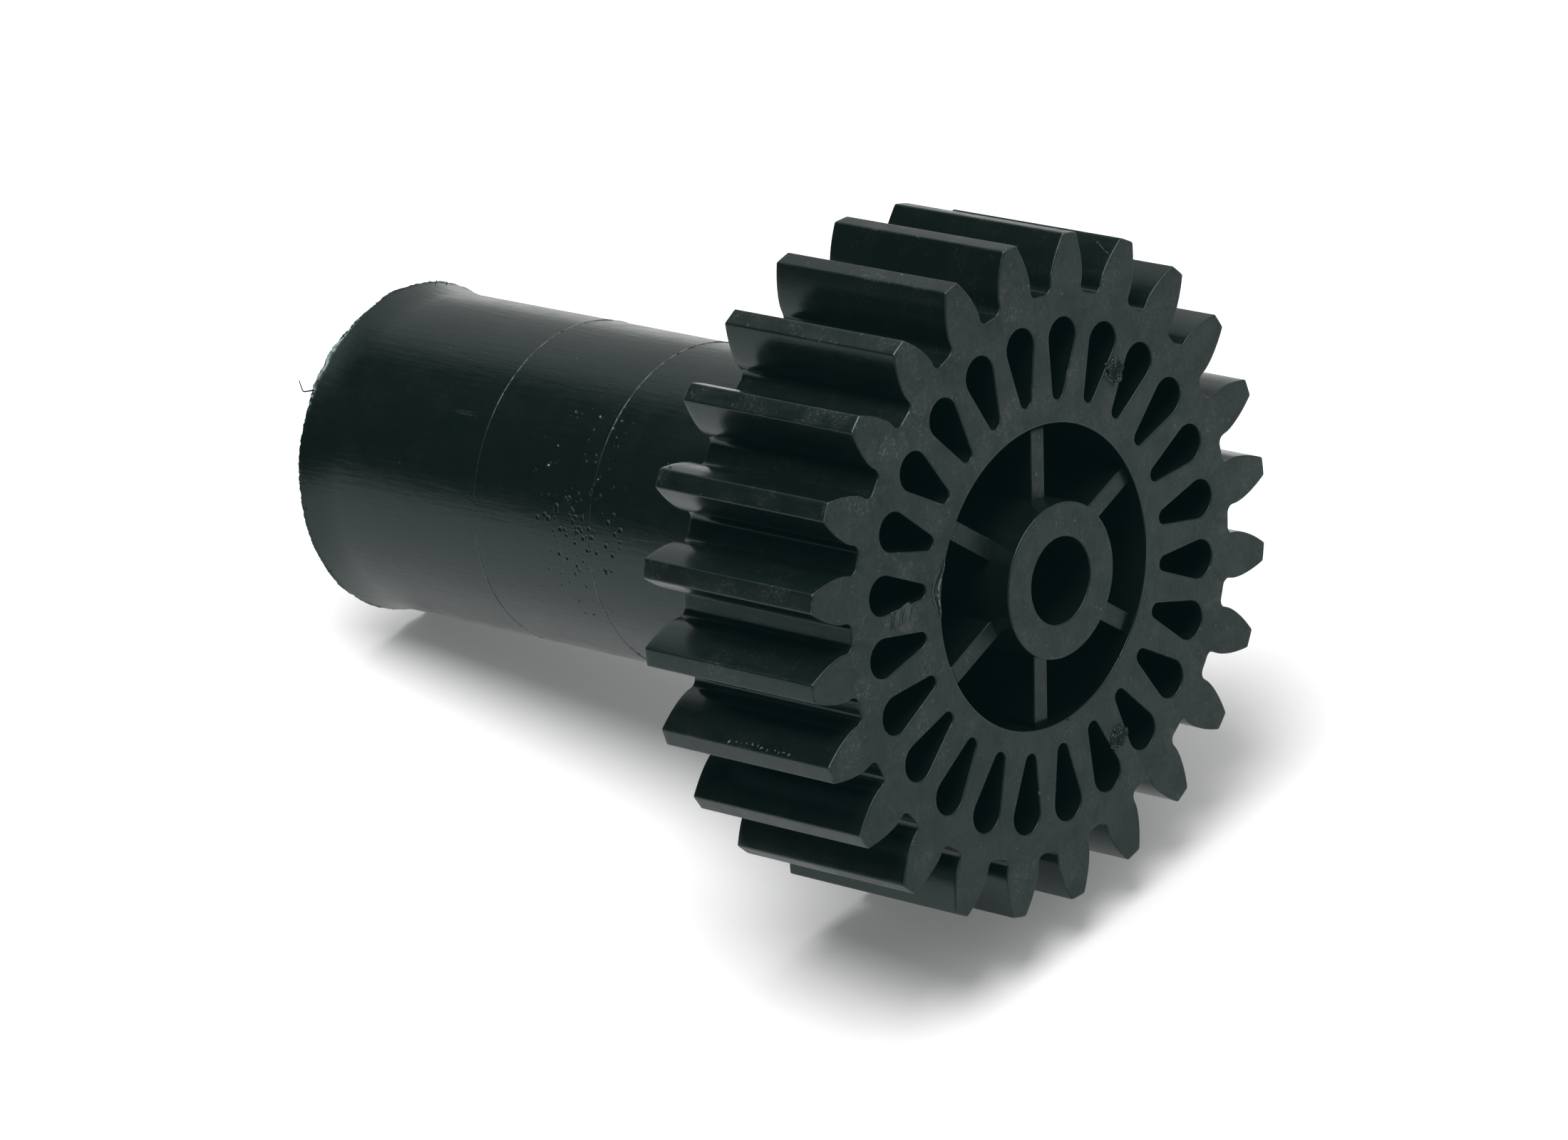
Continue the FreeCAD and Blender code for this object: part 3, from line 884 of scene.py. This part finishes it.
def bore_flash(frayed, black):
    """A sliver of flash that has peeled from the edge of the ring's bore and curled, over a dark strip: the
    groove it left, and painted shade under the curl.
    """
    surface = Surface()
    forward = np.array([0, -1, 0])
    angles = np.linspace(*FLASH_ANGLES, FLASH_STEPS)
    swell = np.sin(np.linspace(0, math.pi, FLASH_STEPS))
    lifted = [at(RING_BORE + 0.15 + 0.55 * rise**3, RIM_FRONT - 0.04 - 0.16 * rise, angle)
              for angle, rise in zip(angles, swell)]
    strand(surface, lifted, 0.06 + 0.20 * swell, FLASH_THICKNESS, forward)
    surface.piece("bore_flash", None, "rim_plastic", [frayed])
    # The dark strip is partly the torn groove and partly painted shade in the gap under the curl.
    groove_and_shade = Surface()
    under = [at(RING_BORE + 0.5 + 0.75 * rise**3, RIM_FRONT, angle) for angle, rise in zip(angles, swell)]
    strand(groove_and_shade, under, 0.10 + 0.36 * swell, GROOVE_AND_SHADE_THICKNESS, forward)
    groove_and_shade.piece("bore_flash_groove_and_shade", None, "rim_plastic", [black])


def burrs(name, slot, material, spots, length, width, seed):
    """A few short torn strands that stand from the surface at each spot, inside the CAD model's box."""
    low, high = (np.array(corner) / MM for corner in CAD_BOX)
    random = np.random.default_rng(seed)
    surface = Surface()
    for radius, place, degrees in spots:
        start = at(radius, place, degrees)
        outward = at(1, 0, degrees)
        lean = random.uniform(-1, 1, 3) * (1, 0.8, 1) + outward * 0.4
        lean /= np.linalg.norm(lean)
        reach = length * random.uniform(0.5, 1.0)
        bend = random.uniform(-0.3, 0.3, 3) * reach
        path = [start - outward * 0.05, start + lean * reach / 2 + bend, start + lean * reach]
        path = np.clip(curved(path, len(BURR_TAPER)), low + width / 2, high - width / 2)
        strand(surface, path, width * BURR_TAPER, width / 2, outward + (0, 0.01, 0))
    surface.piece(name, None, slot, [material])


def scratch(name, slot, lines, material):
    """Fine raised scratch lines, each between two points, with a flat width."""
    surface = Surface()
    for start, end, width in lines:
        path = np.linspace(start, end, len(SCRATCH_TAPER))
        outward = start * (1, 0, 1) / np.hypot(start[0], start[2])
        strand(surface, path, width * SCRATCH_TAPER, LINE_THICKNESS, outward)
    surface.piece(name, None, slot, [material])


def nicks(frayed, torn):
    """Small torn strands on the teeth, at the bore's front edge and on the far end's lip."""
    front = [(TIP_RADIUS - 0.12, RIM_FRONT + 0.1 * step, 81.4 + 0.35 * step) for step in range(8)]
    burrs("tooth_nick", "rim_plastic", frayed, front, length=0.5, width=0.14, seed=31)
    edge = [(TIP_RADIUS - 0.35, place, 185.5) for place in np.linspace(-5.5, 2.0, 12)]
    burrs("tooth_edge_nicks", "rim_plastic", frayed, edge, length=0.55, width=0.24, seed=32)
    corner = [(TIP_RADIUS - 0.7, RIM_REAR - 0.4 - 0.15 * step, 140.0 + 0.1 * step) for step in range(5)]
    burrs("tooth_corner_nick", "rim_plastic", frayed, corner, length=0.4, width=0.13, seed=33)
    random = np.random.default_rng(34)
    lip = [(SLEEVE_RADIUS + FLARE_RISE - 0.1, SLEEVE_END - random.uniform(0.25, 0.5), degrees)
           for degrees in END_BURR_ANGLES]
    burrs("end_burrs", "sleeve_plastic", torn, lip, length=0.38, width=0.16, seed=35)
    bore = [(RING_BORE + 0.05, RIM_FRONT + 0.05, degrees) for degrees in BORE_NICK_ANGLES]
    burrs("bore_nicks", "rim_plastic", torn, bore, length=0.4, width=0.16, seed=36)


def flakes_and_scratches(frayed, smeared):
    """Flakes on the sleeve, spread out and gathered by the pits, and scratches on the sleeve and a flank."""
    random = np.random.default_rng(37)
    flakes = [(SLEEVE_RADIUS, random.uniform(30, 64), random.uniform(98, 176)) for _ in range(26)]
    flakes += [(SLEEVE_RADIUS, random.normal(36, 2.5), random.uniform(112, 136)) for _ in range(9)]
    burrs("sleeve_flakes", "sleeve_plastic", frayed, flakes, length=0.16, width=0.10, seed=38)

    front, rear = SLEEVE_SCRATCH
    lines = [(at(SLEEVE_RADIUS + 0.01, front + shift, SCRATCH_ANGLE + turn),
              at(SLEEVE_RADIUS + 0.01, rear + shift, SCRATCH_ANGLE + 0.2 + turn), 0.05)
             for shift, turn in SLEEVE_SCRATCHES]
    scratch("sleeve_scratches", "sleeve_plastic", lines, smeared)

    (outer, rear, outer_angle), (inner, front, inner_angle) = FLANK_SCRATCH
    lines = [(at(outer - down, rear - shift, outer_angle),
              at(inner - down, front - shift / 3, inner_angle), width)
             for down, shift, width in FLANK_SCRATCHES]
    scratch("flank_scratches", "rim_plastic", lines, frayed)


def end_whisker(black):
    """A whisker of plastic that stands from the far end's lip."""
    whisker = Surface()
    path = curved([at(radius, SLEEVE_END - 0.3, degrees) for radius, degrees in WHISKER], 16)
    strand(whisker, path, np.linspace(0.17, 0.10, len(path)), 0.10, (0, 1, 0))
    whisker.piece("end_whisker", None, "sleeve_plastic", [black])


def marks(frayed, torn, smeared, black):
    """The gates' stubs, flash, nicks, flakes, scratches and a whisker."""
    gate_marks(torn, smeared, black)
    bore_flash(frayed, black)
    nicks(frayed, torn)
    flakes_and_scratches(frayed, smeared)
    end_whisker(black)


# ---------------------------------------------------------------- floor, light and camera

FLOOR_SIZE = 6.0
REST_RADIUS = SLEEVE_RADIUS + FLARE_RISE
FLOOR_TONE = (0.82, 0.82, 0.82, 1)
# The next value is a painted glow that lightens the floor's shadows.
SHADOW_FILL = 0.14

CAMERA_AZIMUTH, CAMERA_ELEVATION, CAMERA_ROLL = -43.25, 25.59, -0.57
CAMERA_DISTANCE = 788.8
CAMERA_TARGET = (-2.54, 21.26, -3.64)
LENS, SENSOR_WIDTH = 188.96, 36
CLIP = (0.05, 20)

KEY_DIRECTION, KEY_DISTANCE = (-0.24, -0.12, 0.967), 1.1
KEY_SIZE, KEY_POWER = 0.80, 14.8

# Brightness of the studio as the object mirrors it: the floor's painted reflection near and far, to the
# right, and the floor's painted stray glow, and the sky low and high, and to the right.
FLOOR_NEAR, FLOOR_FAR, FLOOR_RIGHT, FLOOR_STRAY = 0.33, 0.05, 0.50, 0.30
SKY_LOW, SKY_HIGH, SKY_RIGHT = 0.015, 0.95, 0.50

# How much stray light lifts red, green and blue.
VEIL = (0.0016, 0.0044, 0.0046)


def floor_white():
    """A white floor that fades into the backdrop by its glow, with a painted glow that lightens its shadows.
    What the object mirrors of it is a painted reflection, dimmer than the floor and brightest on the right.
    """
    shader = Shader("floor_white")
    spot = shader.node("ShaderNodeVectorMath", {"operation": "LENGTH"}, Vector=shader.place).outputs["Value"]
    right = shader.node("ShaderNodeSeparateXYZ", Vector=shader.place).outputs["X"]
    near = shader.ramp(spot, 0.06, 0.28, FLOOR_NEAR, FLOOR_FAR)
    mirrored = shader.maths("MAXIMUM", near, shader.ramp(right, 0.01, 0.09, 0.0, FLOOR_RIGHT))
    dim = shader.node("ShaderNodeCombineColor", Red=mirrored, Green=mirrored, Blue=mirrored).outputs["Color"]
    seen = shader.node("ShaderNodeLightPath").outputs["Is Camera Ray"]
    backdrop = shader.ramp(spot, 0.15, 0.45)
    stray = shader.maths("MULTIPLY", shader.maths("SUBTRACT", 1.0, backdrop), FLOOR_STRAY)
    glow = shader.weighted(seen, shader.maths("ADD", backdrop, SHADOW_FILL),
                           shader.maths("SUBTRACT", 1.0, seen), stray)
    inputs = shader.principled.inputs
    shader.feed(inputs["Base Color"], shader.mix(seen, dim, FLOOR_TONE))
    shader.feed(inputs["Emission Strength"], glow)
    inputs["Emission Color"].default_value = (1, 1, 1, 1)
    inputs["Roughness"].default_value = 0.9
    inputs["Specular IOR Level"].default_value = 0.0
    return shader.material


def floor_frame():
    """The floor touches the lowest teeth's rear edges and the sleeve's end: a point on it and its normal."""
    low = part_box("toothed_rim")[0][2] / MM
    rise, run = -REST_RADIUS - low, SLEEVE_END - RIM_REAR
    normal = Vector((0, -rise, run)).normalized()
    return Vector((0, RIM_REAR, low)) * MM, normal


def make_floor():
    """The floor, flat on the plane that the object rests on."""
    point, normal = floor_frame()
    half = FLOOR_SIZE / 2
    mesh = bpy.data.meshes.new("floor")
    corners = [(-half, -half, 0), (half, -half, 0), (half, half, 0), (-half, half, 0)]
    mesh.from_pydata(corners, [], [(0, 1, 2, 3)])
    mesh.materials.append(floor_white())
    floor = bpy.data.objects.new("floor", mesh)
    floor.location = point
    floor.rotation_mode = "QUATERNION"
    floor.rotation_quaternion = Vector((0, 0, 1)).rotation_difference(normal)
    bpy.context.scene.collection.objects.link(floor)


def make_key_light():
    """A round lamp over the object, turned towards it."""
    lamp = bpy.data.lights.new("key", "AREA")
    lamp.shape = "DISK"
    lamp.size = KEY_SIZE
    lamp.energy = KEY_POWER
    light = bpy.data.objects.new("key", lamp)
    bpy.context.scene.collection.objects.link(light)
    place = Vector(KEY_DIRECTION).normalized() * KEY_DISTANCE
    light.location = place
    light.rotation_mode = "QUATERNION"
    light.rotation_quaternion = (-place).to_track_quat("-Z", "Y")


def make_world():
    """A studio: bright overhead, dim near the horizon, dimmest to the left, and white behind the object."""
    world = bpy.data.worlds.new("studio")
    world.use_nodes = True
    bpy.context.scene.world = world
    tree = world.node_tree
    tree.nodes.clear()

    def node(kind, **settings):
        made = tree.nodes.new(kind)
        for name, value in settings.items():
            setattr(made, name, value)
        return made

    def smooth(value, low, high, start, end):
        step = node("ShaderNodeMapRange", interpolation_type="SMOOTHSTEP")
        for name, number in (("From Min", low), ("From Max", high), ("To Min", start), ("To Max", end)):
            step.inputs[name].default_value = number
        tree.links.new(value, step.inputs["Value"])
        return step.outputs["Result"]

    def along(direction):
        product = node("ShaderNodeVectorMath", operation="DOT_PRODUCT")
        product.inputs[1].default_value = direction
        tree.links.new(node("ShaderNodeTexCoord").outputs["Generated"], product.inputs[0])
        return product.outputs["Value"]

    overhead = smooth(along(floor_frame()[1]), 0.60, 0.95, SKY_LOW, SKY_HIGH)
    right = smooth(along((1, 0, 0)), 0.0, 0.38, 0.0, SKY_RIGHT)
    total = node("ShaderNodeMath", operation="MAXIMUM")
    tree.links.new(overhead, total.inputs[0])
    tree.links.new(right, total.inputs[1])
    tone = node("ShaderNodeMix")
    tree.links.new(node("ShaderNodeLightPath").outputs["Is Camera Ray"], tone.inputs["Factor"])
    tree.links.new(total.outputs["Value"], tone.inputs["A"])
    tone.inputs["B"].default_value = 1.0
    background = node("ShaderNodeBackground")
    tree.links.new(tone.outputs["Result"], background.inputs["Strength"])
    output = node("ShaderNodeOutputWorld")
    background.inputs["Color"].default_value = (1, 1, 1, 1)
    tree.links.new(background.outputs["Background"], output.inputs["Surface"])


def make_camera():
    """The camera, level with the floor apart from a small roll."""
    data = bpy.data.cameras.new("camera")
    data.lens = LENS
    data.sensor_width = SENSOR_WIDTH
    data.clip_start, data.clip_end = CLIP
    camera = bpy.data.objects.new("camera", data)
    bpy.context.scene.collection.objects.link(camera)
    azimuth, elevation = math.radians(CAMERA_AZIMUTH), math.radians(CAMERA_ELEVATION)
    level = math.cos(elevation)
    back = Vector((math.sin(azimuth) * level, -math.cos(azimuth) * level, math.sin(elevation)))
    up = floor_frame()[1]
    right = up.cross(back).normalized()
    frame_up = back.cross(right)
    roll = Matrix.Rotation(math.radians(CAMERA_ROLL), 3, back)
    axes = Matrix((roll @ right, roll @ frame_up, back)).transposed()
    place = (Vector(CAMERA_TARGET) + back * CAMERA_DISTANCE) * MM
    camera.matrix_world = Matrix.Translation(place) @ axes.to_4x4()
    bpy.context.scene.camera = camera


def veil_of_stray_light():
    """Lifts the blacks a little towards teal, as stray light in a lens does."""
    view = bpy.context.scene.view_settings
    view.use_curve_mapping = True
    view.curve_mapping.black_level = [-level for level in VEIL]
    view.curve_mapping.update()


make_camera()
make_floor()
make_world()
make_key_light()

rim_face = black_plastic("rim_face", roughness=0.50, dust=0.62, grain=0.035)
rim_flank = black_plastic("rim_flank", roughness=0.22, dust=0.08, grain=0.010, drawn=0.012)
rim_tip = black_plastic("rim_tip", roughness=0.33, dust=0.30, grain=0.015)
# The sleeve's seams get a painted glint tone in place of rubbed edges.
sleeve_skin = black_plastic(
    "sleeve_skin", roughness=0.23, dust=0.03, grain=0.014, rubbed_and_glint_tone=GLINTING, drawn=0.026,
)
toothed_rim([rim_face, rim_flank, rim_tip])
hub_spider([rim_face, rim_flank])
sleeve(sleeve_skin)
marks(frayed_plastic(), torn_plastic(), smeared_plastic(), rim_flank)

bpy.context.scene.view_settings.view_transform = "Standard"
veil_of_stray_light()
